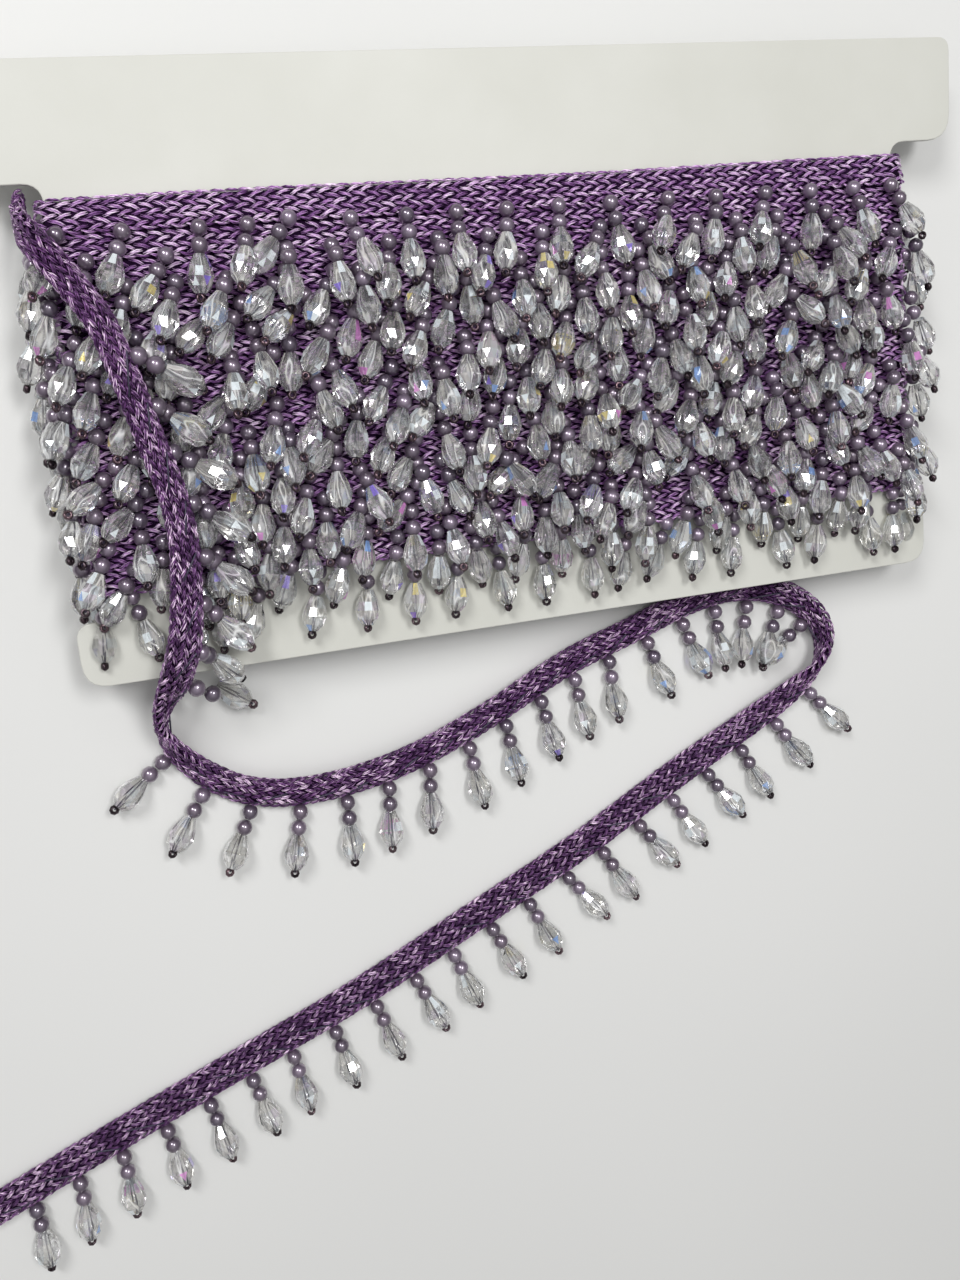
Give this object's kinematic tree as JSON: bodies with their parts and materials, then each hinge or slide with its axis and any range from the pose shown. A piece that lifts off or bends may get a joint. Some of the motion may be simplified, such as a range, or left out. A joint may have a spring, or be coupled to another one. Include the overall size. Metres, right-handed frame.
{
  "type": "beaded fringe trim on a winding card",
  "caption": "Knitted violet tape with bead drops along one edge, wound on a notched card, its loose end laid out in front.",
  "frame": {"origin": "on the surface that the pack rests on, under the middle of the card", "axes": "+X along the card's width, +Y towards its wide top bar, +Z out of the face that shows"},
  "size_m": [0.3436, 0.3477, 0.0349],
  "materials": {
    "card": "smooth coated white board, faintly scuffed",
    "knitted_yarn": "lustrous violet filament yarn, warp knitted",
    "glass_drops": "clear cut glass with a pale rainbow coating",
    "pearl_beads": "pearlised mauve grey",
    "seed_beads": "dark metallic glaze",
    "bead_thread": "twisted dark blue grey thread"
  },
  "bodies": {
    "root": {"winding_card": "card", "wound_tape": "knitted_yarn", "back_fringe": "glass_drops", "front_fringe_01": "glass_drops", "front_fringe_02": "glass_drops", "front_fringe_03": "glass_drops", "front_fringe_04": "glass_drops", "front_fringe_05": "glass_drops", "front_fringe_06": "glass_drops", "front_fringe_07": "glass_drops", "front_fringe_08": "glass_drops", "front_fringe_09": "glass_drops", "front_fringe_10": "glass_drops", "front_fringe_11": "glass_drops", "front_fringe_12": "glass_drops", "front_fringe_13": "glass_drops", "front_fringe_14": "glass_drops", "front_fringe_15": "glass_drops", "loose_tape": "knitted_yarn", "loose_fringe_1": "glass_drops", "loose_fringe_2": "glass_drops", "loose_fringe_3": "glass_drops", "loose_fringe_4": "glass_drops", "loose_fringe_5": "glass_drops", "loose_fringe_6": "glass_drops", "loose_fringe_7": "glass_drops"}
  },
  "joints": []
}
